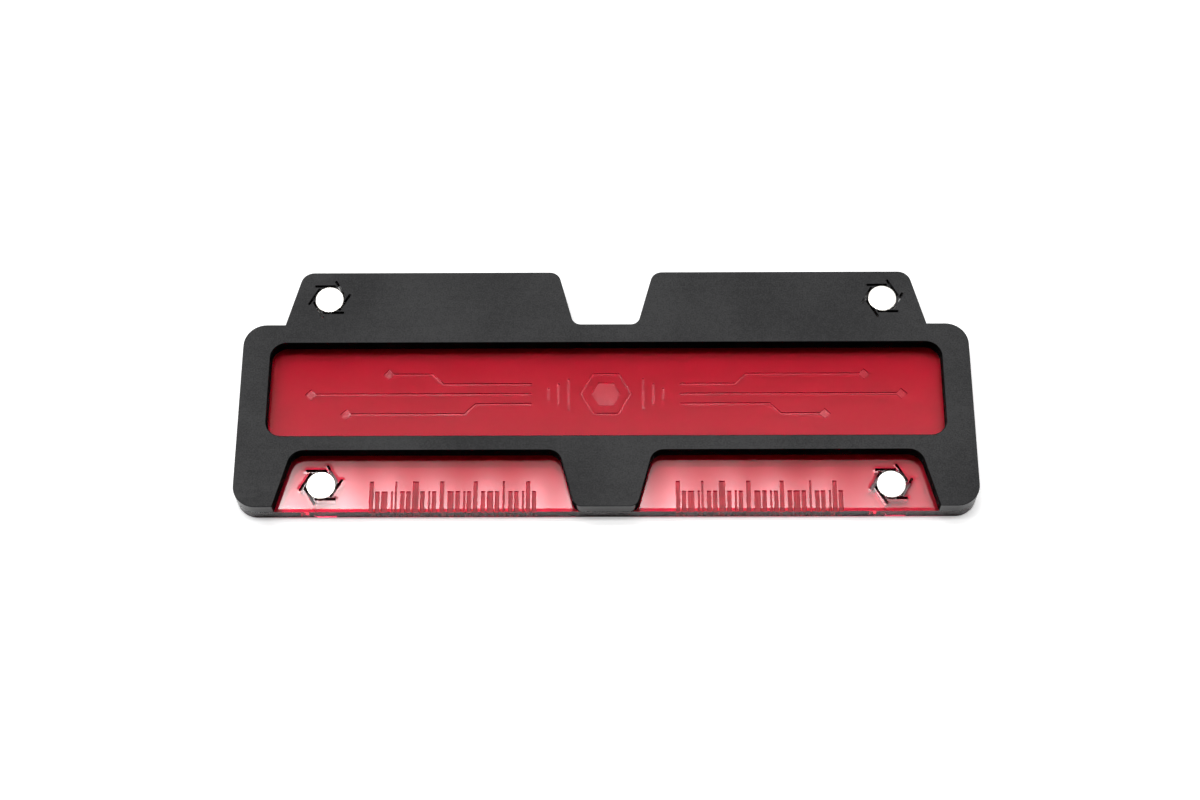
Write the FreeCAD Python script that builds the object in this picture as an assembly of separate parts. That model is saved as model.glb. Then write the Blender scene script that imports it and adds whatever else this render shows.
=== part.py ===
import FreeCAD
import Part

import math
import os

# A dice tray that links to others of its kind. Two laser-cut acrylic sheets are bonded face to
# face: a clear red base and a black top with a long window, so that the base is the floor of a
# shallow pocket. Two tapered tabs stick out behind, in the thickness of the top sheet alone, and
# two recesses of the same outline are open to the front. The tabs of one tray drop into the
# recesses of the next, and disc magnets in the tabs then lie on disc magnets in the recess
# floors. Millimetres; the origin is at the middle of the overall box, on the underside. X runs
# along the tray, Y from its front to its tabs and Z up.

# Sheets
top_sheet = 3.0
base_sheet = 3.0

# Body
body_width = 160.0
body_depth = 43.5
body_corner_radius = 5.0

# Tabs
tab_length = 13.0
tab_end_step = 9.05
tab_notch_half_width = 7.1
tab_taper_deg = 15.0
tab_outer_radius = 3.0
tab_inner_radius = 2.5
notch_root_radius = 2.0

# Clearance between a tab and the recess that takes it
dock_side_gap = 0.4
dock_end_gap = 0.15

# Pocket window, by the widths of the rims around it
pocket_end_rim = 6.15
pocket_rear_rim = 4.5
pocket_front_rim = 3.45
pocket_corner_radius = 3.5

# Magnets, each as thick as the sheet that it is pressed into
magnet_radius = 3.175
magnet_press = 0.02
magnet_rim_radius = 0.2
magnet_end_inset = 18.5
magnet_from_tab_middle = 0.2

# Relief slits that let the rim of each magnet hole give
slit_count = 6
slit_first_angle_deg = 30.0
slit_width = 0.6
slit_overlap = 0.15
slit_reach = 3.15
slit_lead = 1.0

# Engraved bars on the recess floors: n, m and w are narrow, middling and wide, capitals are long
# bars, and a blank is a wider gap
bar_order = "Mmw nN mmWm nm M wm nmM mwm N mm nMm"
bar_narrow = 0.45
bar_middle = 0.93
bar_wide = 1.35
bar_gap = 0.37
bar_short = 4.8
bar_long = 7.1
bar_engraving = 0.5
bar_recess_margin = 4.8
bar_magnet_margin = 1.5

# Engraved lines on the pocket floor
line_width = 0.55
line_engraving = 0.3
line_offset = 2.4
line_jog = 2.4
line_start = 16.5
line_jog_start = 12.0
line_end_insets = (9.0, 17.0, 26.0)
pad_radius = 1.3
hexagon_radius = 5.8
hexagon_core_radius = 3.2
tick_pitch = 2.2
tick_heights = (7.0, 4.6, 2.4)
tick_inner_gap = 2.4

# Heights and Y places that several pieces share
overall_depth = body_depth + tab_length
front_y = -overall_depth / 2
shoulder_y = front_y + body_depth
rear_y = shoulder_y + tab_length
top_z = base_sheet + top_sheet
half_width = body_width / 2
cut_overshoot = 1.0


def corner_arc(before, corner, after, radius):
    """Start, middle and end of the arc that rounds one corner."""
    to_before = (before - corner).normalize()
    to_after = (after - corner).normalize()
    half_angle = to_before.getAngle(to_after) / 2
    bisector = (to_before + to_after).normalize()
    setback = radius / math.tan(half_angle)
    nearest = radius / math.sin(half_angle) - radius
    return corner + to_before * setback, corner + bisector * nearest, corner + to_after * setback


def outline(corners):
    """Closed wire through (x, y, radius) corners, each rounded by its own radius."""
    points = [FreeCAD.Vector(x, y, 0) for x, y, radius in corners]
    edges = []
    spans = []
    for index, point in enumerate(points):
        radius = corners[index][2]
        start = end = point
        if radius > 0:
            after = points[(index + 1) % len(points)]
            start, middle, end = corner_arc(points[index - 1], point, after, radius)
            edges.append(Part.Arc(start, middle, end).toShape())
        spans.append((start, end))
    for index, (start, end) in enumerate(spans):
        previous_end = spans[index - 1][1]
        if not start.isEqual(previous_end, 1e-6):
            edges.append(Part.LineSegment(previous_end, start).toShape())
    return Part.Wire(Part.__sortEdges__(edges))


def prism(corners, low_z, high_z):
    """Upright solid with the given outline."""
    solid = Part.Face(outline(corners)).extrude(FreeCAD.Vector(0, 0, high_z - low_z))
    solid.translate(FreeCAD.Vector(0, 0, low_z))
    return solid


def with_mirror(right_half):
    """Corners of the right half, front to rear, and their mirror images back to the front."""
    return right_half + [(-x, y, radius) for x, y, radius in reversed(right_half)]


def rectangle(left, front, right, rear, radius=0.0):
    """Corners of a rectangle."""
    return [(left, front, radius), (right, front, radius), (right, rear, radius), (left, rear, radius)]


def polygon(centre_x, centre_y, radius, sides):
    """Corners of a regular polygon with one corner on its +X side."""
    turns = [2 * math.pi * side / sides for side in range(sides)]
    return [(centre_x + radius * math.cos(turn), centre_y + radius * math.sin(turn), 0.0) for turn in turns]


def slot(start, end, width, low_z, high_z):
    """Upright round-ended slot between the centres of its two ends."""
    run = FreeCAD.Vector(*end, 0) - FreeCAD.Vector(*start, 0)
    half = width / 2
    body = prism(rectangle(-half, -half, run.Length + half, half, half), low_z, high_z)
    body.rotate(FreeCAD.Vector(), FreeCAD.Vector(0, 0, 1), math.degrees(math.atan2(run.y, run.x)))
    body.translate(FreeCAD.Vector(*start, 0))
    return body


def joined(solids):
    """One shape from several solids that may overlap."""
    return solids[0].multiFuse(solids[1:]).removeSplitter()


# Tab and recess outlines: the recess is the tab with the docking gaps added
tab_lean = tab_length * math.tan(math.radians(tab_taper_deg))
tab_outer_root = half_width - tab_end_step
recess_depth = tab_length + dock_end_gap
recess_lean = recess_depth * math.tan(math.radians(tab_taper_deg))
recess_outer_mouth = tab_outer_root + dock_side_gap
recess_inner_mouth = tab_notch_half_width - dock_side_gap
recess_rear_y = front_y + recess_depth
recess_inner_rear = recess_inner_mouth + recess_lean
recess_outer_rear = recess_outer_mouth - recess_lean

# Pocket window
pocket_half_length = half_width - pocket_end_rim
pocket_front_y = recess_rear_y + pocket_front_rim
pocket_rear_y = shoulder_y - pocket_rear_rim
pocket_middle_y = (pocket_front_y + pocket_rear_y) / 2

# Magnet centres: linked trays bring the rear magnets of one over the front magnets of the next
magnet_x = half_width - magnet_end_inset
magnet_inset = tab_length / 2 - magnet_from_tab_middle
magnet_front_y = front_y + magnet_inset
magnet_rear_y = shoulder_y + magnet_inset
magnet_hole_radius = magnet_radius - magnet_press
slit_distance = magnet_hole_radius - slit_overlap + slit_width / 2


def magnet_seat(centre_x, centre_y, low_z, high_z):
    """Magnet hole with slits that leave it along its tangents, all turning the same way."""
    cut_low = low_z - cut_overshoot
    cut_high = high_z + cut_overshoot
    centre = FreeCAD.Vector(centre_x, centre_y, 0)
    foot = FreeCAD.Vector(centre_x, centre_y, cut_low)
    hole = Part.makeCylinder(magnet_hole_radius, cut_high - cut_low, foot)
    slits = []
    for index in range(slit_count):
        turn = math.radians(slit_first_angle_deg + index * 360.0 / slit_count)
        out = FreeCAD.Vector(math.cos(turn), math.sin(turn), 0)
        along = FreeCAD.Vector(-out.y, out.x, 0)
        touch = centre + out * slit_distance
        start = touch - along * slit_lead
        end = touch + along * slit_reach
        slits.append(slot((start.x, start.y), (end.x, end.y), slit_width, cut_low, cut_high))
    return joined([hole] + slits)


def disc_magnet(centre_x, centre_y, low_z, high_z):
    """Disc magnet with a small round on both rims."""
    disc = Part.makeCylinder(magnet_radius, high_z - low_z, FreeCAD.Vector(centre_x, centre_y, low_z))
    rims = [edge for edge in disc.Edges if isinstance(edge.Curve, Part.Circle)]
    return disc.makeFillet(magnet_rim_radius, rims)


def top_plate():
    """Black sheet with the window, the front recesses, the rear tabs and the rear magnet seats."""
    right_half = [
        (recess_inner_mouth, front_y, notch_root_radius),
        (recess_inner_rear, recess_rear_y, tab_inner_radius + dock_side_gap),
        (recess_outer_rear, recess_rear_y, tab_outer_radius + dock_side_gap),
        (recess_outer_mouth, front_y, 0.0),
        (half_width, front_y, body_corner_radius),
        (half_width, shoulder_y, body_corner_radius),
        (tab_outer_root, shoulder_y, 0.0),
        (tab_outer_root - tab_lean, rear_y, tab_outer_radius),
        (tab_notch_half_width + tab_lean, rear_y, tab_inner_radius),
        (tab_notch_half_width, shoulder_y, notch_root_radius),
    ]
    sheet = prism(with_mirror(right_half), base_sheet, top_z)
    window = prism(
        rectangle(-pocket_half_length, pocket_front_y, pocket_half_length, pocket_rear_y, pocket_corner_radius),
        base_sheet - cut_overshoot,
        top_z + cut_overshoot,
    )
    seats = [magnet_seat(side * magnet_x, magnet_rear_y, base_sheet, top_z) for side in (-1, 1)]
    return sheet.cut([window] + seats)


def fitted_bars():
    """Left edge, width and length of each engraved bar that fits beside the magnet slits."""
    slit_tip = math.hypot(slit_distance, slit_reach) + slit_width / 2
    room = magnet_x - slit_tip - bar_magnet_margin - recess_inner_rear - bar_recess_margin
    widths = {"n": bar_narrow, "m": bar_middle, "w": bar_wide}
    bars = []
    left = 0.0
    for letter in bar_order:
        if letter == " ":
            left += bar_gap
            continue
        width = widths[letter.lower()]
        length = bar_long if letter.isupper() else bar_short
        if left + width > room:
            break
        bars.append((left, width, length))
        left += width + bar_gap
    return bars


def bar_engravings():
    """Bars from the front edge over both recess floors, in the same order on both sides."""
    bars = fitted_bars()
    row_length = max((left + width for left, width, length in bars), default=0.0)
    nearest = recess_inner_rear + bar_recess_margin
    floor = base_sheet - bar_engraving
    cuts = []
    for row_left in (nearest, -nearest - row_length):
        for left, width, length in bars:
            low_x = row_left + left
            corners = rectangle(low_x, front_y - cut_overshoot, low_x + width, front_y + length)
            cuts.append(prism(corners, floor, base_sheet + cut_overshoot))
    return cuts


def line_engravings():
    """Hexagon, ticks and stepped lines with diamond pads, the same after half a turn."""
    floor = base_sheet - line_engraving
    over = base_sheet + cut_overshoot
    rings = prism(polygon(0, 0, hexagon_radius, 6), floor, over)
    rings = rings.cut(prism(polygon(0, 0, hexagon_radius - line_width, 6), floor, over))
    core = prism(polygon(0, 0, hexagon_core_radius, 6), floor, over)
    half = []
    for index, height in enumerate(tick_heights):
        tick_x = hexagon_radius + tick_inner_gap + index * tick_pitch
        half.append(slot((tick_x, -height / 2), (tick_x, height / 2), line_width, floor, over))
    near_end, middle_end, far_end = [pocket_half_length - inset for inset in line_end_insets]
    routes = [
        [(line_start, 0), (near_end, 0)],
        [
            (line_start, line_offset),
            (line_start + line_jog_start, line_offset),
            (line_start + line_jog_start + line_jog, line_offset + line_jog),
            (middle_end, line_offset + line_jog),
        ],
        [
            (line_start, -line_offset),
            (far_end - line_jog_start, -line_offset),
            (far_end - line_jog_start + line_jog, -line_offset - line_jog),
            (far_end, -line_offset - line_jog),
        ],
    ]
    for route in routes:
        for start, end in zip(route, route[1:]):
            half.append(slot(start, end, line_width, floor, over))
        half.append(prism(polygon(*route[-1], pad_radius, 4), floor, over))
    other_half = [solid.copy() for solid in half]
    for solid in other_half:
        solid.rotate(FreeCAD.Vector(), FreeCAD.Vector(0, 0, 1), 180)
    cuts = [rings, core] + half + other_half
    for solid in cuts:
        solid.translate(FreeCAD.Vector(0, pocket_middle_y, 0))
    return cuts


def base_plate():
    """Red sheet of the body's outline, with the front magnet seats and the engraving."""
    corners = rectangle(-half_width, front_y, half_width, shoulder_y, body_corner_radius)
    sheet = prism(corners, 0.0, base_sheet)
    seats = [magnet_seat(side * magnet_x, magnet_front_y, 0.0, base_sheet) for side in (-1, 1)]
    engraving = joined(bar_engravings() + line_engravings())
    return sheet.cut(seats + [engraving])


def main():
    """Build every piece and write one file for each."""
    pieces = {"base_plate": base_plate(), "top_plate": top_plate()}
    for side_name, side in (("left", -1), ("right", 1)):
        pieces["magnet_front_" + side_name] = disc_magnet(side * magnet_x, magnet_front_y, 0.0, base_sheet)
        pieces["magnet_rear_" + side_name] = disc_magnet(side * magnet_x, magnet_rear_y, base_sheet, top_z)
    os.makedirs("parts", exist_ok=True)
    for name, shape in pieces.items():
        shape.exportStep(os.path.join("parts", name + ".step"))
        print(name, "solids", len(shape.Solids), "valid", shape.isValid(), "mm3", round(shape.Volume, 2))


main()
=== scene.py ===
import logging
import math
from dataclasses import dataclass, field
from enum import Enum

import bmesh
import bpy
from mathutils import Matrix, Vector
from mathutils.kdtree import KDTree


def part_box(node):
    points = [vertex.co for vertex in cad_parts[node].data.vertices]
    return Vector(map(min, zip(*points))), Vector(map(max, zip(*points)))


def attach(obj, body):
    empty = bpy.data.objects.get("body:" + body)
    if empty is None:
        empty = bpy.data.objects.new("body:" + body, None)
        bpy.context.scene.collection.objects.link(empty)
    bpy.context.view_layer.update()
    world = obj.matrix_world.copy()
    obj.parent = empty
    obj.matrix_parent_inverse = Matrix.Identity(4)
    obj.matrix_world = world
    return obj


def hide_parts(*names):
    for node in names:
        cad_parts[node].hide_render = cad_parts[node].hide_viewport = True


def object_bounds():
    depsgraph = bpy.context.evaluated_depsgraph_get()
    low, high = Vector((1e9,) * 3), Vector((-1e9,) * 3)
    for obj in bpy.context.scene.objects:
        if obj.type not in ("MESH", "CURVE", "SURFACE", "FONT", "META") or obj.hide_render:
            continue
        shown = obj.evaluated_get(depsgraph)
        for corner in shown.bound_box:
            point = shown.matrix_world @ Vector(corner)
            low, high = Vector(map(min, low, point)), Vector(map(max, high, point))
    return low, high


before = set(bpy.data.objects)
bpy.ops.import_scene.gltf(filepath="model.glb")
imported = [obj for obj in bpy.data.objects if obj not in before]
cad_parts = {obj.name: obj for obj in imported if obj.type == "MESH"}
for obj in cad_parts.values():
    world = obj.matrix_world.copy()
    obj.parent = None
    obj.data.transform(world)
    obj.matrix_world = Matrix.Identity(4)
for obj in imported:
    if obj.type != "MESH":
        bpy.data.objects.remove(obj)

Socket = bpy.types.NodeSocket
Colour = tuple[float, float, float]
Range = tuple[float, float]
Seat = tuple[Vector, float]

CAD_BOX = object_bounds()
FRONT = CAD_BOX[0][1]
REAR = CAD_BOX[1][1]
MM = 0.001
UM = 0.000001
ACRYLIC_IOR = 1.49
CUT_STREAKS_UM = 3.0
WHITE = (1.0, 1.0, 1.0, 1.0)
# A face lies flat where the Z of its normal is over this.
FLAT = 0.95
# A point lies in a plane where it is nearer to it than this, in metres.
IN_PLANE = 0.005 * MM
LOG = logging.getLogger("dice_tray")


class Level(Enum):
    """Heights of the sheets' faces above the table, in millimetres."""

    UNDERSIDE = 0.0
    BOND = 3.0
    TOP = 6.0

    def holds(self, point: Vector) -> bool:
        """Whether a point lies at this height."""
        return abs(point.z - self.value * MM) < IN_PLANE


class Surface(Enum):
    """How one face of the red sheet was made, or the painted shade it gets, as the number in its
    finish attribute.
    """

    POLISHED = 0.0
    LASER_CUT = 0.25
    SCORED = 0.5
    ENGRAVED = 0.75
    # The last two stand for painted shade: on the walls of the seat slits, and on the bars' rims
    # and short walls.
    SHADED_SLIT = 1.0
    SHADED_BAR_EDGE = 1.25


class BlackSide(Enum):
    """Kinds of faces on the black sheet, as the numbers of its material slots."""

    FACE = 0
    OUTER_EDGE = 1
    INNER_WALL = 2


@dataclass(frozen=True)
class Patch:
    """An upright rectangular column, by its two corners in plan, in metres."""

    left: float
    front: float
    right: float
    rear: float

    def holds(self, point: Vector) -> bool:
        """Whether a point lies in the column."""
        return self.left < point.x < self.right and self.front < point.y < self.rear


def lies_flat(normal: Vector) -> bool:
    """Whether a face with this normal faces straight up or down."""
    return abs(normal.z) > FLAT


def select_nothing() -> None:
    """Leave edit mode and deselect every object."""
    if bpy.context.object is not None and bpy.context.object.mode != "OBJECT":
        bpy.ops.object.mode_set(mode="OBJECT")
    bpy.ops.object.select_all(action="DESELECT")


def work_on(piece: bpy.types.Object) -> None:
    """Make one piece the only selected and active object.

    Args:
        piece: The object to work on.
    """
    select_nothing()
    piece.select_set(True)
    bpy.context.view_layer.objects.active = piece


class NodeSheet:
    """A node tree that is filled one node at a time."""

    # The Mix node's sockets for colours, by place, because its names repeat.
    MIX_COLOURS = (6, 7)
    MIXED_COLOUR = 2

    def __init__(self, tree: bpy.types.NodeTree) -> None:
        """Start from a tree of a material or of the world, emptied."""
        self.tree = tree
        self.tree.nodes.clear()

    def add(self, kind: str, inputs: dict, **settings: str) -> bpy.types.Node:
        """Add one node.

        Args:
            kind: The node's type name.
            inputs: Values or other nodes' sockets for its inputs, by name or number.
            **settings: Properties of the node.

        Returns:
            The new node.
        """
        node = self.tree.nodes.new(kind)
        for key, value in settings.items():
            setattr(node, key, value)
        for key, value in inputs.items():
            if isinstance(value, Socket):
                self.tree.links.new(value, node.inputs[key])
            else:
                node.inputs[key].default_value = value
        return node

    def object_place(self) -> Socket:
        """Object coordinates."""
        return self.add("ShaderNodeTexCoord", {}).outputs["Object"]

    def direction(self) -> Socket:
        """The direction in which a ray leaves for the world."""
        return self.add("ShaderNodeTexCoord", {}).outputs["Generated"]

    def light_path(self) -> bpy.types.bpy_prop_collection:
        """What kind of ray asks, by name."""
        return self.add("ShaderNodeLightPath", {}).outputs

    def split(self, vector: Socket) -> bpy.types.bpy_prop_collection:
        """A vector's X, Y and Z, by name."""
        return self.add("ShaderNodeSeparateXYZ", {"Vector": vector}).outputs

    def along(self, vector: Socket, axis: tuple[float, float, float]) -> Socket:
        """How far a vector reaches along an axis."""
        product = self.add("ShaderNodeVectorMath", {0: vector, 1: axis}, operation="DOT_PRODUCT")
        return product.outputs["Value"]

    def noise(
        self,
        per_metre: float,
        detail: float = 2.0,
        stretch: tuple[float, float, float] = (1.0, 1.0, 1.0),
        uneven: float = 0.5,
    ) -> Socket:
        """Noise on object coordinates.

        Args:
            per_metre: Spots in a metre.
            detail: Finer layers of noise.
            stretch: Factor on the coordinates along each axis.
            uneven: How strong the finer layers are.

        Returns:
            The noise, from 0 to 1.
        """
        place = self.add("ShaderNodeMapping", {"Vector": self.object_place(), "Scale": stretch})
        texture = self.add(
            "ShaderNodeTexNoise",
            {
                "Vector": place.outputs["Vector"],
                "Scale": per_metre,
                "Detail": detail,
                "Roughness": uneven,
            },
        )
        return texture.outputs["Fac"]

    def laser_streaks(self) -> Socket:
        """Upright streaks that a laser leaves on a cut edge."""
        return self.noise(per_metre=2600.0, detail=3.0, stretch=(1.0, 1.0, 0.05), uneven=0.6)

    def spread(
        self,
        value: Socket,
        low: float,
        high: float,
        start: float = 0.3,
        end: float = 0.7,
    ) -> Socket:
        """Map a value smoothly to another range.

        Args:
            value: The socket to map.
            low: Result at start.
            high: Result at end.
            start: Value that gives low.
            end: Value that gives high.

        Returns:
            The mapped value.
        """
        limits = {"Value": value, "From Min": start, "From Max": end, "To Min": low, "To Max": high}
        mapped = self.add("ShaderNodeMapRange", limits, interpolation_type="SMOOTHSTEP")
        return mapped.outputs["Result"]

    def math(self, operation: str, *values: float | Socket) -> Socket:
        """The result of one Math node on some values or sockets."""
        node = self.add("ShaderNodeMath", dict(enumerate(values)), operation=operation)
        return node.outputs["Value"]

    def weigh(self, *parts: tuple[Socket, float]) -> Socket:
        """Add some values up, each times its weight.

        Args:
            *parts: Each value with its weight.

        Returns:
            The sum.
        """
        (value, weight), *others = parts
        total = self.math("MULTIPLY", value, weight)
        for value, weight in others:
            total = self.math("MULTIPLY_ADD", value, weight, total)
        return total

    def blend(self, share: Socket, first: Colour | Socket, second: Colour | Socket) -> Socket:
        """Mix two colours.

        Args:
            share: How much of the second colour.
            first: Linear colour, or another node's socket.
            second: Linear colour, or another node's socket.

        Returns:
            The mixed colour.
        """
        colours = {
            number: colour if isinstance(colour, Socket) else (*colour, 1.0)
            for number, colour in zip(self.MIX_COLOURS, (first, second))
        }
        mix = self.add("ShaderNodeMix", {"Factor": share, **colours}, data_type="RGBA")
        return mix.outputs[self.MIXED_COLOUR]

    def relief(self, height: Socket, depth_um: float, below: Socket | None = None) -> Socket:
        """Bump from a height.

        Args:
            height: Height from 0 to 1.
            depth_um: Real height of 1, in micrometres.
            below: Normal that this relief lies on.

        Returns:
            The bumped normal.
        """
        inputs = {"Height": height, "Distance": depth_um * UM, "Strength": 1.0}
        if below is not None:
            inputs["Normal"] = below
        return self.add("ShaderNodeBump", inputs).outputs["Normal"]

    def principled(self, inputs: dict) -> Socket:
        """The shader of one Principled BSDF."""
        return self.add("ShaderNodeBsdfPrincipled", inputs).outputs["BSDF"]


class Finish:
    """What a surface is made of: one material of nodes."""

    name: str

    def build(self) -> bpy.types.Material:
        """Make the material.

        Returns:
            The material.
        """
        material = bpy.data.materials.new(self.name)
        material.use_nodes = True
        sheet = NodeSheet(material.node_tree)
        sheet.add("ShaderNodeOutputMaterial", self.fill(sheet))
        return material

    def fill(self, sheet: NodeSheet) -> dict[str, Socket]:
        """Add the finish's own nodes, and give its surface and what is inside it."""
        raise NotImplementedError


@dataclass(frozen=True)
class MatteBlackFace(Finish):
    """Grained matte face of the black acrylic sheet."""

    name: str = "matte_black_face"
    dark: Colour = (0.015, 0.015, 0.016)
    pale: Colour = (0.034, 0.034, 0.035)
    smooth: float = 0.50
    rough: float = 0.62
    specular_level: float = 0.19
    grain_um: float = 16.0
    mottle_um: float = 12.0

    def fill(self, sheet: NodeSheet) -> dict[str, Socket]:
        """Grain over mottle and clouds, and streaks of handling in the sheen.

        Args:
            sheet: The material's node tree.

        Returns:
            The surface.
        """
        grain = sheet.noise(per_metre=3000.0, detail=2.0, uneven=0.6)
        mottle = sheet.noise(per_metre=800.0, detail=4.0, uneven=0.65)
        clouds = sheet.noise(per_metre=45.0, detail=3.0)
        streaks = sheet.noise(per_metre=38.0, detail=5.0, stretch=(1.0, 26.0, 1.0), uneven=0.7)
        tone = sheet.weigh((mottle, 0.25), (clouds, 0.2), (grain, 0.55))
        paleness = sheet.spread(tone, 0.0, 1.0, start=0.38, end=0.62)
        handling = sheet.weigh((clouds, 0.65), (streaks, 0.35))
        coarse = sheet.relief(mottle, self.mottle_um)
        surface = sheet.principled(
            {
                "Base Color": sheet.blend(paleness, self.dark, self.pale),
                "Roughness": sheet.spread(handling, self.rough, self.smooth, start=0.35, end=0.68),
                "Normal": sheet.relief(grain, self.grain_um, below=coarse),
                "IOR": ACRYLIC_IOR,
                "Specular IOR Level": self.specular_level,
            }
        )
        return {"Surface": surface}


@dataclass(frozen=True)
class BlackCutEdge(Finish):
    """Glossy edge that the laser leaves on the black sheet, with upright streaks."""

    name: str = "black_cut_edge"
    dark: Colour = (0.006, 0.006, 0.007)
    pale: Colour = (0.014, 0.014, 0.015)
    smooth: float = 0.08
    rough: float = 0.20
    specular_level: float = 0.5

    def fill(self, sheet: NodeSheet) -> dict[str, Socket]:
        """Streaks in the gloss, and clouds in the black.

        Args:
            sheet: The material's node tree.

        Returns:
            The surface.
        """
        streaks = sheet.laser_streaks()
        clouds = sheet.noise(per_metre=220.0, detail=2.0)
        surface = sheet.principled(
            {
                "Base Color": sheet.blend(sheet.spread(clouds, 0.0, 1.0), self.dark, self.pale),
                "Roughness": sheet.spread(streaks, self.smooth, self.rough),
                "Normal": sheet.relief(streaks, CUT_STREAKS_UM),
                "IOR": ACRYLIC_IOR,
                "Specular IOR Level": self.specular_level,
            }
        )
        return {"Surface": surface}


@dataclass(frozen=True)
class ShadedCutWall(BlackCutEdge):
    """Cut walls inside the window and the recesses, in painted shade: darker than the outer edge
    and with almost no sheen.
    """

    name: str = "shaded_cut_wall"
    # Painted shade: darker than the outer cut edge, with almost no sheen.
    dark: Colour = (0.001, 0.001, 0.001)
    pale: Colour = (0.004, 0.004, 0.004)
    smooth: float = 0.40
    rough: float = 0.60
    specular_level: float = 0.012


@dataclass(frozen=True)
class ClearRedAcrylic(Finish):
    """See-through red acrylic: polished faces, streaked cut edges and frosted engraving, with
    painted shade on the bars and in the seat slits.
    """

    name: str = "clear_red_acrylic"
    tint: Colour = (1.0, 0.45, 0.50)
    frosted: Colour = (0.84, 0.24, 0.32)
    # Painted shade: dark red on the bars' rims, short walls and front ends; the raster passes
    # darken towards it too.
    bar_shade: Colour = (0.52, 0.03, 0.09)
    # Painted shade: near black on the walls of the seat slits.
    slit_shade_red: Colour = (0.10, 0.01, 0.02)
    passed: tuple[float, float, float, float] = (0.915, 0.03, 0.40, 1.0)
    density_per_metre: float = 520.0
    polished_rough: Range = (0.012, 0.05)
    cut_rough: Range = (0.03, 0.12)
    scored_rough: Range = (0.06, 0.16)
    engraved_rough: Range = (0.42, 0.66)
    waves_um: float = 24.0
    furrows_um: float = 11.0
    scored_depth: float = 0.8
    pass_burn: float = 0.7
    # Painted shade: the bars darken this far behind the front edge, with this soft border.
    front_shade_depth_mm: float = 1.05
    front_shade_soft_mm: float = 0.1
    attribute: str = "sheet_finish_and_shade"
    attribute_reach: float = 0.1

    def fill(self, sheet: NodeSheet) -> dict[str, Socket]:
        """Clear red all through, worked as each face's attribute says.

        Args:
            sheet: The material's node tree.

        Returns:
            The surface and the red inside.
        """
        made = sheet.add("ShaderNodeAttribute", {}, attribute_name=self.attribute).outputs["Fac"]
        # The last two masks pick the faces in painted shade: the walls of the seat slits, and the
        # bars' rims and short walls.
        cut, scored, engraved, slit_shade, bar_shade = (
            sheet.math("COMPARE", made, surface.value, self.attribute_reach)
            for surface in Surface
            if surface is not Surface.POLISHED
        )
        walls = sheet.math("ADD", cut, slit_shade)
        bars = sheet.math("ADD", engraved, bar_shade)
        waves = sheet.noise(per_metre=42.0, detail=1.0)
        handling = sheet.noise(per_metre=70.0, detail=5.0, uneven=0.7)
        streaks = sheet.laser_streaks()
        frost = sheet.noise(per_metre=5200.0, detail=3.0, uneven=0.6)
        passes = sheet.noise(per_metre=3400.0, detail=1.0, stretch=(1.0, 0.06, 1.0))

        roughness = sheet.spread(handling, *self.polished_rough, start=0.45, end=0.75)
        for share, pattern, rough in (
            (walls, streaks, self.cut_rough),
            (scored, frost, self.scored_rough),
            (bars, frost, self.engraved_rough),
        ):
            roughness = sheet.math("MULTIPLY_ADD", share, sheet.spread(pattern, *rough), roughness)

        wavy = sheet.relief(waves, self.waves_um)
        streaked = sheet.relief(sheet.math("MULTIPLY", streaks, walls), CUT_STREAKS_UM, below=wavy)
        rows = sheet.weigh((frost, 0.4), (passes, 0.6))
        etched = sheet.math("MULTIPLY_ADD", scored, self.scored_depth, bars)
        furrows = sheet.math("MULTIPLY", rows, etched)

        # Painted shade: the bars turn dark red within about a millimetre of the front edge.
        depth = sheet.split(sheet.object_place())["Y"]
        front_shade_end, fade = FRONT + self.front_shade_depth_mm * MM, self.front_shade_soft_mm * MM
        front_shade = sheet.spread(depth, 1.0, 0.0, start=front_shade_end - fade, end=front_shade_end + fade)
        # The raster passes are real darker lines; the darker front ends, rims and short walls of
        # the bars are painted shade.
        lines = sheet.spread(passes, 0.0, self.pass_burn, start=0.42, end=0.62)
        passes_and_shade = sheet.math("MAXIMUM", lines, sheet.math("MAXIMUM", front_shade, bar_shade))
        clean = sheet.blend(bars, self.tint, sheet.blend(passes_and_shade, self.frosted, self.bar_shade))

        surface = sheet.principled(
            {
                # Painted shade: the walls of the seat slits are nearly black.
                "Base Color": sheet.blend(slit_shade, clean, self.slit_shade_red),
                "Roughness": roughness,
                "Normal": sheet.relief(furrows, self.furrows_um, below=streaked),
                "IOR": ACRYLIC_IOR,
                "Transmission Weight": 1.0,
            }
        )
        absorbed = {"Color": self.passed, "Density": self.density_per_metre}
        inside = sheet.add("ShaderNodeVolumeAbsorption", absorbed).outputs["Volume"]
        return {"Surface": surface, "Volume": inside}


@dataclass(frozen=True)
class NickelPlate(Finish):
    """Bright nickel plating with a fine satin grain and faint scuffs."""

    name: str = "nickel_plate"
    dark: Colour = (0.62, 0.60, 0.56)
    pale: Colour = (0.76, 0.74, 0.70)
    smooth: float = 0.16
    rough: float = 0.32
    grain_um: float = 0.8

    def fill(self, sheet: NodeSheet) -> dict[str, Socket]:
        """Grain in the relief, stains in the colour, and both scuffs and stains in the gloss.

        Args:
            sheet: The material's node tree.

        Returns:
            The surface.
        """
        grain = sheet.noise(per_metre=5200.0, detail=2.0)
        stains = sheet.noise(per_metre=420.0, detail=4.0, uneven=0.6)
        scuffs = sheet.noise(per_metre=900.0, detail=4.0, stretch=(1.0, 14.0, 1.0), uneven=0.7)
        marks = sheet.weigh((stains, 0.5), (scuffs, 0.5))
        surface = sheet.principled(
            {
                "Base Color": sheet.blend(sheet.spread(stains, 0.0, 1.0), self.pale, self.dark),
                "Metallic": 1.0,
                "Roughness": sheet.spread(marks, self.smooth, self.rough, start=0.35, end=0.65),
                "Normal": sheet.relief(grain, self.grain_um),
            }
        )
        return {"Surface": surface}


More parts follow.
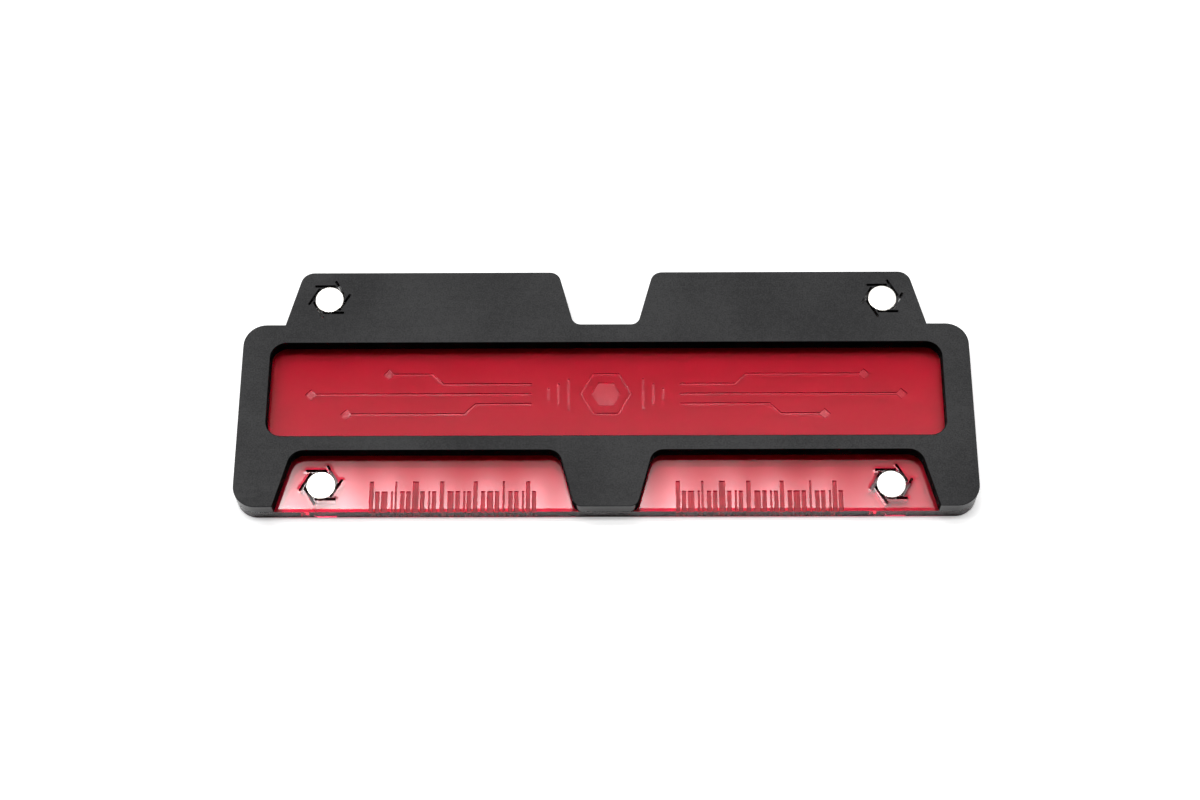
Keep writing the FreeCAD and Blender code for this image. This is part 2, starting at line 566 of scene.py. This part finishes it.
@dataclass(frozen=True)
class WhiteTable(Finish):
    """Matte white that keeps the object's shadow, with a glow of its own round the object."""

    name: str = "white_table"
    shade: float = 0.96
    seen_glow: float = 0.41
    mirrored_glow: float = 0.06
    tab_inner_mm: float = 12.0
    tab_outer_mm: float = 66.0
    corner_mm: float = 5.0

    def fill(self, sheet: NodeSheet) -> dict[str, Socket]:
        """Matte white, plus the glow where nothing stands on the table.

        Args:
            sheet: The material's node tree.

        Returns:
            The surface.
        """
        matte = sheet.add("ShaderNodeBsdfDiffuse", {"Color": (*[self.shade] * 3, 1.0)})
        bare = sheet.math("SUBTRACT", 1.0, self.covered(sheet))
        strength = sheet.math("MULTIPLY", bare, self.glow(sheet))
        white = sheet.add("ShaderNodeEmission", {"Strength": strength})
        both = sheet.add("ShaderNodeAddShader", {0: matte.outputs[0], 1: white.outputs[0]})
        return {"Surface": both.outputs[0]}

    def glow(self, sheet: NodeSheet) -> Socket:
        """Strength of the table's own white, on rays from the camera, a mirror or glass.

        Args:
            sheet: The material's node tree.

        Returns:
            The strength.
        """
        path = sheet.light_path()
        mirrored = sheet.math("MAXIMUM", path["Is Glossy Ray"], path["Is Transmission Ray"])
        seen = sheet.math("MULTIPLY", path["Is Camera Ray"], self.seen_glow)
        return sheet.math("MULTIPLY_ADD", mirrored, self.mirrored_glow, seen)

    def covered(self, sheet: NodeSheet) -> Socket:
        """1 on the part of the table that lies under the base or the tabs.

        Args:
            sheet: The material's node tree.

        Returns:
            The share.
        """
        low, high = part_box("base_plate")
        shoulder = high[1]
        inner, outer = self.tab_inner_mm * MM, self.tab_outer_mm * MM
        axes = sheet.split(sheet.object_place())
        under_base = self.within(sheet, axes, Patch(low[0], low[1], high[0], shoulder))
        under_left = self.within(sheet, axes, Patch(-outer, shoulder, -inner, REAR))
        under_right = self.within(sheet, axes, Patch(inner, shoulder, outer, REAR))
        return sheet.math("MAXIMUM", under_base, sheet.math("MAXIMUM", under_left, under_right))

    def within(
        self, sheet: NodeSheet, axes: bpy.types.bpy_prop_collection, patch: Patch
    ) -> Socket:
        """1 inside a patch of the table with rounded corners.

        Args:
            sheet: The material's node tree.
            axes: The table's coordinates.
            patch: The patch.

        Returns:
            The share.
        """
        radius = self.corner_mm * MM
        squares = []
        for axis, low, high in (("X", patch.left, patch.right), ("Y", patch.front, patch.rear)):
            middle, straight_half = (low + high) / 2, (high - low) / 2 - radius
            from_middle = sheet.math("ABSOLUTE", sheet.math("SUBTRACT", axes[axis], middle))
            past_straight = sheet.math("SUBTRACT", from_middle, straight_half)
            squares.append(sheet.math("POWER", sheet.math("MAXIMUM", past_straight, 0.0), 2.0))
        return sheet.math("LESS_THAN", sheet.math("ADD", *squares), radius**2)


@dataclass
class LaserCutSheet:
    """A flat sheet cut out by laser: a merged copy of its CAD solid, with softened edges."""

    node: str
    name: str
    slot: str
    merge_mm: float = 0.001
    same_face_deg: float = 0.3
    sharp_edge_deg: float = 30.0
    smooth_wall_deg: float = 20.0
    piece: bpy.types.Object = field(init=False)

    def __post_init__(self) -> None:
        """Copy the solid and merge its loose triangles into clean faces."""
        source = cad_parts[self.node]
        self.piece = bpy.data.objects.new(self.name, source.data.copy())
        bpy.context.scene.collection.objects.link(self.piece)
        self.piece.data.materials.clear()
        work_on(self.piece)
        bpy.ops.mesh.customdata_custom_splitnormals_clear()
        bpy.ops.object.mode_set(mode="EDIT")
        bpy.ops.mesh.select_all(action="SELECT")
        bpy.ops.mesh.remove_doubles(threshold=self.merge_mm * MM)
        bpy.ops.mesh.dissolve_limited(angle_limit=math.radians(self.same_face_deg))
        bpy.ops.object.mode_set(mode="OBJECT")

    def soften(self, level: Level, width_mm: float, spared: list[Seat]) -> None:
        """Round the sharp edges at one height.

        Args:
            level: The height.
            width_mm: Width of the round.
            spared: Upright cylinders, by centre and radius, inside which edges stay sharp.
        """
        work_on(self.piece)
        bpy.ops.object.mode_set(mode="EDIT")
        bpy.ops.mesh.select_mode(type="EDGE")
        bpy.ops.mesh.select_all(action="DESELECT")
        shape = bmesh.from_edit_mesh(self.piece.data)
        sharp = math.radians(self.sharp_edge_deg)
        chosen = 0
        for edge in shape.edges:
            if not all(level.holds(vertex.co) for vertex in edge.verts):
                continue
            if not edge.is_manifold or edge.calc_face_angle() < sharp:
                continue
            middle = (edge.verts[0].co + edge.verts[1].co) / 2
            if any((middle.xy - centre.xy).length < radius for centre, radius in spared):
                continue
            edge.select_set(True)
            chosen += 1
        bmesh.update_edit_mesh(self.piece.data)
        bpy.ops.mesh.bevel(
            offset=width_mm * MM,
            segments=2,
            profile=0.5,
            affect="EDGES",
            clamp_overlap=True,
            loop_slide=False,
        )
        bpy.ops.object.mode_set(mode="OBJECT")
        LOG.info("%s: %d edges rounded", self.piece.name, chosen)

    def finish(self) -> None:
        """Smooth the curved walls, hang the sheet on its body and hide the solid."""
        work_on(self.piece)
        bpy.ops.object.shade_smooth_by_angle(angle=math.radians(self.smooth_wall_deg))
        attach(self.piece, "root")
        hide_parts(self.node)
        LOG.info("%s: %d faces", self.piece.name, len(self.piece.data.polygons))


@dataclass
class Magnets:
    """Four nickel-plated disc magnets, two in the base and two in the tabs."""

    front: tuple[str, str] = ("magnet_front_left", "magnet_front_right")
    rear: tuple[str, str] = ("magnet_rear_left", "magnet_rear_right")
    seat_reach_mm: float = 6.0

    def seats(self, names: tuple[str, str]) -> list[Seat]:
        """Where the slits round some magnets lie.

        Args:
            names: The magnets' nodes.

        Returns:
            Centre and reach of each seat.
        """
        found = []
        for name in names:
            low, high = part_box(name)
            found.append(((Vector(low) + Vector(high)) / 2, self.seat_reach_mm * MM))
        return found

    def dress(self) -> None:
        """Give the magnets their plating."""
        plating = NickelPlate().build()
        for name in self.front + self.rear:
            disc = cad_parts[name]
            disc.data.materials.clear()
            disc.data.materials.append(plating)
            LOG.info("%s: plated", name)


@dataclass
class BlackTop:
    """The black top sheet with its window, recesses and tabs."""

    magnets: Magnets
    edge_round_mm: float = 0.12
    bond_depth_mm: float = 0.02
    window_half_mm: float = 74.5
    window_front_mm: float = 16.0
    window_rear_mm: float = 39.6
    mouth_half_mm: float = 72.0
    mouth_front_mm: float = 0.3

    def build(self) -> None:
        """Shape and dress the sheet."""
        sheet = LaserCutSheet("top_plate", "black_top_sheet", "black_acrylic")
        sheet.soften(Level.TOP, self.edge_round_mm, self.magnets.seats(self.magnets.rear))
        self.sink(sheet.piece)
        self.dress(sheet.piece)
        sheet.finish()

    def sink(self, piece: bpy.types.Object) -> None:
        """Let the lower face bite into the red sheet, as the cemented joint does.

        Args:
            piece: The black sheet.
        """
        for vertex in piece.data.vertices:
            if Level.BOND.holds(vertex.co):
                vertex.co.z -= self.bond_depth_mm * MM

    def dress(self, piece: bpy.types.Object) -> None:
        """Matte faces, glossy outer walls and inner walls in painted shade.

        Args:
            piece: The black sheet.
        """
        # The finishes come in the order of BlackSide.
        for finish in (MatteBlackFace(), BlackCutEdge(), ShadedCutWall()):
            piece.data.materials.append(finish.build())
        inner = [
            Patch(-half * MM, FRONT + near * MM, half * MM, FRONT + far * MM)
            for half, near, far in (
                (self.window_half_mm, self.window_front_mm, self.window_rear_mm),
                (self.mouth_half_mm, self.mouth_front_mm, self.window_front_mm),
            )
        ]
        for face in piece.data.polygons:
            if lies_flat(face.normal):
                side = BlackSide.FACE
            # Inner walls take the darker copy that paints their shade.
            elif any(patch.holds(face.center) for patch in inner):
                side = BlackSide.INNER_WALL
            else:
                side = BlackSide.OUTER_EDGE
            face.material_index = side.value


@dataclass(frozen=True)
class Lip:
    """Cross-section of the melted acrylic beside a cut: a lip, then a shallow dip behind it."""

    height_mm: float
    dip_mm: float
    width_mm: float

    def height_m(self, distance_mm: float) -> float:
        """Height over the flat face.

        Args:
            distance_mm: Distance from the cut.

        Returns:
            The height, in metres.
        """
        share = distance_mm / self.width_mm
        if share < 1.0:
            return (self.height_mm * (1.0 - share) - self.dip_mm) * MM
        # The dip fades out over one more width of the lip.
        return -self.dip_mm * max(0.0, 2.0 - share) ** 2 * MM


@dataclass
class CutLips:
    """Low lips of melted acrylic along the cuts through the recess floors."""

    mouth_inner_mm: float = 6.7
    mouth_outer_mm: float = 71.35
    seat_net_mm: float = 5.9
    front_lip: Lip = Lip(height_mm=0.023, dip_mm=0.006, width_mm=0.75)
    slit_lip: Lip = Lip(height_mm=0.011, dip_mm=0.0, width_mm=0.4)
    front_net_widths: float = 2.2
    edge_net_mm: float = 0.12
    fine_net_mm: float = 0.2
    coarse_net_mm: float = 1.6
    sample_mm: float = 0.05
    merge_mm: float = 0.002
    on_cut_m: float = 1e-7

    def on_top(self, face: bmesh.types.BMFace) -> bool:
        """Whether a face is part of the sheet's upper face."""
        return face.normal.z > FLAT and Level.BOND.holds(face.calc_center_median())

    def tops(self, shape: bmesh.types.BMesh) -> list[bmesh.types.BMFace]:
        """All parts of the sheet's upper face."""
        return [face for face in shape.faces if self.on_top(face)]

    def mouths(self) -> list[Patch]:
        """The front of both recess mouths, as deep as their net.

        Returns:
            The left and the right patch.
        """
        rear = FRONT + self.front_lip.width_mm * self.front_net_widths * MM
        inner, outer = self.mouth_inner_mm * MM, self.mouth_outer_mm * MM
        return [Patch(-outer, FRONT, -inner, rear), Patch(inner, FRONT, outer, rear)]

    def net(
        self, shape: bmesh.types.BMesh, patch: Patch, pitch_x_mm: float, pitch_y_mm: float
    ) -> None:
        """Divide the upper face inside a patch by a net of straight cuts, with a sharp border.

        Args:
            shape: The sheet.
            patch: Where the net lies.
            pitch_x_mm: Width of a mesh.
            pitch_y_mm: Depth of a mesh.
        """
        spans = ((0, patch.left, patch.right, pitch_x_mm), (1, patch.front, patch.rear, pitch_y_mm))
        for axis, low, high, _ in spans:
            for place in (low, high):
                self.cut(shape, self.tops(shape), axis, place)
        for axis, low, high, pitch_mm in spans:
            faces = [face for face in self.tops(shape) if patch.holds(face.calc_center_median())]
            count = round((high - low) / (pitch_mm * MM))
            for step in range(1, count):
                faces = self.cut(shape, faces, axis, low + (high - low) * step / count)
        for edge in shape.edges:
            # On the border, one face lies inside the patch and one outside.
            if len({patch.holds(face.calc_center_median()) for face in edge.link_faces}) == 2:
                edge.smooth = False

    def cut(
        self, shape: bmesh.types.BMesh, faces: list[bmesh.types.BMFace], axis: int, place: float
    ) -> list[bmesh.types.BMFace]:
        """Cut some faces along one upright plane.

        Args:
            shape: The sheet.
            faces: The faces to cut.
            axis: 0 for a plane across X, 1 for a plane across Y.
            place: Where on that axis the plane stands.

        Returns:
            The faces after the cut.
        """
        across = Vector((1.0, 0.0, 0.0) if axis == 0 else (0.0, 1.0, 0.0))
        # A dictionary keeps its order, so each run cuts in the same order.
        parts = dict.fromkeys(faces)
        for face in faces:
            parts.update(dict.fromkeys((*face.edges, *face.verts)))
        result = bmesh.ops.bisect_plane(
            shape,
            geom=list(parts),
            dist=self.on_cut_m,
            plane_co=across * place,
            plane_no=across,
        )
        return [part for part in result["geom"] if isinstance(part, bmesh.types.BMFace)]

    def cut_points(self, shape: bmesh.types.BMesh, grounds: list[Patch]) -> KDTree:
        """Points along the edges where the sheet is cut right through.

        Args:
            shape: The sheet.
            grounds: The patches that are searched.

        Returns:
            The points, ready for searching.
        """
        middle_height = Level.BOND.value * MM / 2
        points = []
        for edge in shape.edges:
            walls = [face for face in edge.link_faces if not self.on_top(face)]
            if len(walls) != 1 or len(edge.link_faces) != 2:
                continue
            if all(vertex.co.z > middle_height for vertex in walls[0].verts):
                continue
            start, end = (vertex.co for vertex in edge.verts)
            if not any(ground.holds((start + end) / 2) for ground in grounds):
                continue
            count = max(1, round((end - start).length / (self.sample_mm * MM)))
            points.extend(start.lerp(end, step / count) for step in range(count + 1))
        tree = KDTree(len(points))
        for index, point in enumerate(points):
            tree.insert(point, index)
        tree.balance()
        return tree

    def raise_on(self, piece: bpy.types.Object, seats: list[Seat]) -> None:
        """Net the recess floors beside their cuts and lift them towards the cuts.

        Args:
            piece: The red sheet.
            seats: Centre and reach of each magnet seat.
        """
        shape = bmesh.new()
        shape.from_mesh(piece.data)
        bmesh.ops.triangulate(shape, faces=self.tops(shape))
        fronts = self.mouths()
        for patch in fronts:
            self.net(shape, patch, self.coarse_net_mm, self.edge_net_mm)
        reach = self.seat_net_mm * MM
        grounds = [
            Patch(centre.x - reach, centre.y - reach, centre.x + reach, centre.y + reach)
            for centre, _ in seats
        ]
        for patch in grounds:
            self.net(shape, patch, self.fine_net_mm, self.fine_net_mm)
        bmesh.ops.remove_doubles(shape, verts=shape.verts, dist=self.merge_mm * MM)
        bmesh.ops.dissolve_degenerate(shape, edges=shape.edges, dist=self.merge_mm * MM)
        slits = self.cut_points(shape, grounds)
        raised = {vertex for face in self.tops(shape) for vertex in face.verts}
        lifts = {vertex: self.slit_lip.height_m(slits.find(vertex.co)[2] / MM) for vertex in raised}
        for vertex in raised:
            if any(front.left < vertex.co.x < front.right for front in fronts):
                lifts[vertex] += self.front_lip.height_m((vertex.co.y - FRONT) / MM)
        for vertex, lift in lifts.items():
            vertex.co.z += lift
        shape.to_mesh(piece.data)
        shape.free()
        LOG.info("%s: lips raised, %d faces", piece.name, len(piece.data.polygons))


@dataclass
class RedBase:
    """The see-through red base sheet with the front magnet seats and the engraving."""

    magnets: Magnets
    edge_round_mm: float = 0.08
    bars_depth_mm: float = 7.8
    bar_rim_mm: float = 0.12
    floor_below_mm: float = 2.9
    bar_walls_above_mm: float = 2.4
    front_wall_mm: float = 0.02
    lips: CutLips = field(default_factory=CutLips)
    finish: ClearRedAcrylic = field(default_factory=ClearRedAcrylic)

    def build(self) -> None:
        """Shape and dress the sheet."""
        sheet = LaserCutSheet("base_plate", "red_base_sheet", "red_acrylic")
        seats = self.magnets.seats(self.magnets.front)
        sheet.soften(Level.UNDERSIDE, self.edge_round_mm, seats)
        self.lips.raise_on(sheet.piece, seats)
        self.dress(sheet.piece, seats)
        sheet.finish()

    def dress(self, piece: bpy.types.Object, seats: list[Seat]) -> None:
        """Record how each face was made, or the painted shade it gets, for the one material that
        covers them all.

        Args:
            piece: The red sheet.
            seats: Centre and reach of each magnet seat.
        """
        rims = self.outline_bars(piece)
        made = piece.data.attributes.new(self.finish.attribute, "FLOAT", "FACE")
        for face in piece.data.polygons:
            made.data[face.index].value = self.finish_or_shade_of(face, seats, rims).value
        piece.data.materials.append(self.finish.build())

    def finish_or_shade_of(
        self, face: bpy.types.MeshPolygon, seats: list[Seat], rims: set[int]
    ) -> Surface:
        """How one face was made, or the painted shade it gets.

        Args:
            face: The face.
            seats: Centre and reach of each magnet seat.
            rims: The numbers of the faces that rim the bars' floors.

        Returns:
            The kind of surface.
        """
        if not lies_flat(face.normal):
            # Painted shade goes on the walls of the seat slits, and on the bars' short walls and
            # rims.
            if any((face.center.xy - centre.xy).length < reach for centre, reach in seats):
                return Surface.SHADED_SLIT
            return Surface.SHADED_BAR_EDGE if self.beside_bar(face.center) else Surface.LASER_CUT
        if face.index in rims:
            return Surface.SHADED_BAR_EDGE
        if face.normal.z > 0 and face.center.z < self.floor_below_mm * MM:
            return Surface.ENGRAVED if face.center.y < self.bars_rear_m() else Surface.SCORED
        return Surface.POLISHED

    def bars_rear_m(self) -> float:
        """Y behind which there are no bars."""
        return FRONT + self.bars_depth_mm * MM

    def beside_bar(self, point: Vector) -> bool:
        """Whether the middle of an upright face lies in the short walls of the engraved bars."""
        behind_front = FRONT + self.front_wall_mm * MM < point.y < self.bars_rear_m()
        return behind_front and point.z > self.bar_walls_above_mm * MM

    def outline_bars(self, piece: bpy.types.Object) -> set[int]:
        """Divide a narrow rim off the floor of each engraved bar, to carry painted shade.

        Args:
            piece: The red sheet.

        Returns:
            The numbers of the rims' faces.
        """
        shape = bmesh.new()
        shape.from_mesh(piece.data)
        floors = [
            face
            for face in shape.faces
            if face.normal.z > FLAT
            and face.calc_center_median().z < self.floor_below_mm * MM
            and face.calc_center_median().y < self.bars_rear_m()
        ]
        rim = self.bar_rim_mm * MM
        rims = bmesh.ops.inset_individual(shape, faces=floors, thickness=rim)["faces"]
        shape.faces.index_update()
        found = {face.index for face in rims}
        shape.to_mesh(piece.data)
        shape.free()
        LOG.info("%s: %d bars outlined", piece.name, len(floors))
        return found


@dataclass(frozen=True)
class SoftPanel:
    """A soft-edged rectangle of light in the studio, far from the object.

    Its sizes are sines of the angles at which the object sees them.
    """

    from_zenith_deg: float
    middle_x: float
    half_width: float
    half_height: float
    soft_width: float
    soft_height: float
    strength: float
    ripple: float = 0.0
    ripple_pitch: float = 0.0216
    ripple_start: float = -0.0361

    def light(self, sheet: NodeSheet) -> Socket:
        """Light that comes from the panel.

        Args:
            sheet: The world's node tree.

        Returns:
            Its strength in each direction.
        """
        turn = math.radians(self.from_zenith_deg)
        way = sheet.direction()
        sideways, up_or_down, ahead = (
            sheet.along(way, axis)
            for axis in (
                (1.0, 0.0, 0.0),
                (0.0, math.cos(turn), -math.sin(turn)),
                (0.0, math.sin(turn), math.cos(turn)),
            )
        )
        from_middle = sheet.math("SUBTRACT", sideways, self.middle_x)
        width = self.fade(sheet, from_middle, self.half_width, self.soft_width)
        height = self.fade(sheet, up_or_down, self.half_height, self.soft_height)
        shape = sheet.math("MULTIPLY", sheet.math("MULTIPLY", width, height), self.strength)
        if self.ripple:
            pitch, start = self.ripple_pitch, self.ripple_start
            turns = sheet.math("MULTIPLY_ADD", sideways, 1.0 / pitch, -start / pitch)
            wave = sheet.math("COSINE", sheet.math("MULTIPLY", turns, math.tau))
            gain = sheet.math("MULTIPLY_ADD", wave, self.ripple, 1.0)
            shape = sheet.math("MULTIPLY", shape, gain)
        return sheet.math("MULTIPLY", shape, sheet.math("GREATER_THAN", ahead, 0.0))

    def fade(self, sheet: NodeSheet, offset: Socket, half: float, soft: float) -> Socket:
        """1 in the panel's middle and 0 outside it, along one of its axes."""
        away = sheet.math("ABSOLUTE", offset)
        return sheet.spread(away, 1.0, 0.0, start=half - soft, end=half)


@dataclass
class Studio:
    """White table, soft light and the photograph's camera."""

    table_reach_m: float = 4.0
    table_gap_mm: float = 0.1
    ambient: float = 0.05
    mirrored_backdrop: float = 0.85
    mirrored_from_deg: Range = (42.0, 64.0)
    refracted_from_deg: Range = (72.0, 84.0)
    panels: tuple[SoftPanel, ...] = (
        SoftPanel(
            from_zenith_deg=6.2, middle_x=-0.05, half_width=0.55, half_height=0.073,
            soft_width=0.30, soft_height=0.033, strength=16.0,
        ),
        SoftPanel(
            from_zenith_deg=19.4, middle_x=-0.24, half_width=0.42, half_height=0.072,
            soft_width=0.12, soft_height=0.031, strength=11.0, ripple=0.25,
        ),
        SoftPanel(
            from_zenith_deg=20.9, middle_x=-0.24, half_width=0.17, half_height=0.045,
            soft_width=0.06, soft_height=0.031, strength=4.0,
        ),
        SoftPanel(
            from_zenith_deg=20.2, middle_x=0.0, half_width=0.60, half_height=0.112,
            soft_width=0.30, soft_height=0.05, strength=0.9,
        ),
        SoftPanel(
            from_zenith_deg=33.0, middle_x=0.0, half_width=0.85, half_height=0.12,
            soft_width=0.30, soft_height=0.05, strength=1.9,
        ),
    )
    eye_m: tuple[float, float, float] = (0.001810, -0.206898, 0.445432)
    elevation_deg: float = 65.136
    yaw_deg: float = 0.867
    roll_deg: float = -0.940
    lens_mm: float = 66.69
    sensor_mm: float = 36.0
    clip_start_m: float = 0.01

    def build(self) -> None:
        """Build the table, the light and the camera."""
        self.build_table()
        self.build_light()
        self.build_camera()
        bpy.context.scene.view_settings.view_transform = "Standard"

    def build_table(self) -> None:
        """Lay the white table just under the object."""
        select_nothing()
        bpy.ops.mesh.primitive_plane_add(
            size=2 * self.table_reach_m, location=(0, 0, -self.table_gap_mm * MM)
        )
        table = bpy.context.object
        table.name = "white_table"
        bpy.ops.object.transform_apply(location=True)
        table.data.materials.append(WhiteTable().build())
        LOG.info("white_table: laid")

    def low_in_room(self, sheet: NodeSheet, height: Socket, from_deg: Range) -> Socket:
        """1 low in the room and 0 high in it, by the Z of a ray and two angles from the zenith."""
        begin, full = (math.cos(math.radians(angle)) for angle in from_deg)
        return sheet.spread(height, 1.0, 0.0, start=full, end=begin)

    def mirrored_walls(self, sheet: NodeSheet, path: bpy.types.bpy_prop_collection) -> Socket:
        """The backdrop's own white low in the room, on rays from a mirror or through glass.

        Args:
            sheet: The world's node tree.
            path: The kind of ray.

        Returns:
            The share of white.
        """
        height = sheet.split(sheet.direction())["Z"]
        in_mirror = self.low_in_room(sheet, height, self.mirrored_from_deg)
        in_glass = self.low_in_room(sheet, height, self.refracted_from_deg)
        # A ray through glass counts as glossy too.
        through = path["Is Transmission Ray"]
        reflected = sheet.math("GREATER_THAN", path["Is Glossy Ray"], through)
        mirrored = sheet.math("MULTIPLY", in_mirror, reflected)
        return sheet.math("MULTIPLY_ADD", in_glass, through, mirrored)

    def build_light(self) -> None:
        """Light the object from a dim room with soft panels, before a white backdrop."""
        world = bpy.data.worlds.new("studio")
        bpy.context.scene.world = world
        world.use_nodes = True
        sheet = NodeSheet(world.node_tree)
        path = sheet.light_path()
        walls = self.mirrored_walls(sheet, path)
        lit = sheet.math("MULTIPLY_ADD", walls, self.mirrored_backdrop, self.ambient)
        for panel in self.panels:
            lit = sheet.math("ADD", panel.light(sheet), lit)
        room = sheet.add("ShaderNodeBackground", {"Color": WHITE, "Strength": lit})
        backdrop = sheet.add("ShaderNodeBackground", {"Color": WHITE, "Strength": 1.0})
        mix = sheet.add(
            "ShaderNodeMixShader",
            {0: path["Is Camera Ray"], 1: room.outputs[0], 2: backdrop.outputs[0]},
        )
        sheet.add("ShaderNodeOutputWorld", {"Surface": mix.outputs[0]})
        LOG.info("studio: %d soft panels", len(self.panels))

    def build_camera(self) -> None:
        """Place the camera where the photograph was taken from."""
        elevation, yaw, roll = (
            math.radians(angle) for angle in (self.elevation_deg, self.yaw_deg, self.roll_deg)
        )
        level_x, level_y = math.sin(yaw), -math.cos(yaw)
        flat, rise = math.cos(elevation), math.sin(elevation)
        back = Vector((level_x * flat, level_y * flat, rise))
        right = (-back).cross(Vector((0, 0, 1))).normalized()
        up = right.cross(-back)
        turned_right = right * math.cos(roll) + up * math.sin(roll)
        turned_up = up * math.cos(roll) - right * math.sin(roll)
        data = bpy.data.cameras.new("photo_camera")
        data.sensor_width = self.sensor_mm
        data.lens = self.lens_mm
        data.clip_start = self.clip_start_m
        camera = bpy.data.objects.new("photo_camera", data)
        bpy.context.scene.collection.objects.link(camera)
        axes = Matrix((turned_right, turned_up, back)).transposed()
        camera.matrix_world = Matrix.Translation(self.eye_m) @ axes.to_4x4()
        bpy.context.scene.camera = camera
        LOG.info("photo_camera: placed")


def main() -> None:
    """Build the studio and the dice tray."""
    logging.basicConfig(level=logging.INFO, format="%(name)s: %(message)s")
    Studio().build()
    magnets = Magnets()
    magnets.dress()
    BlackTop(magnets).build()
    RedBase(magnets).build()


if __name__ == "__main__":
    main()
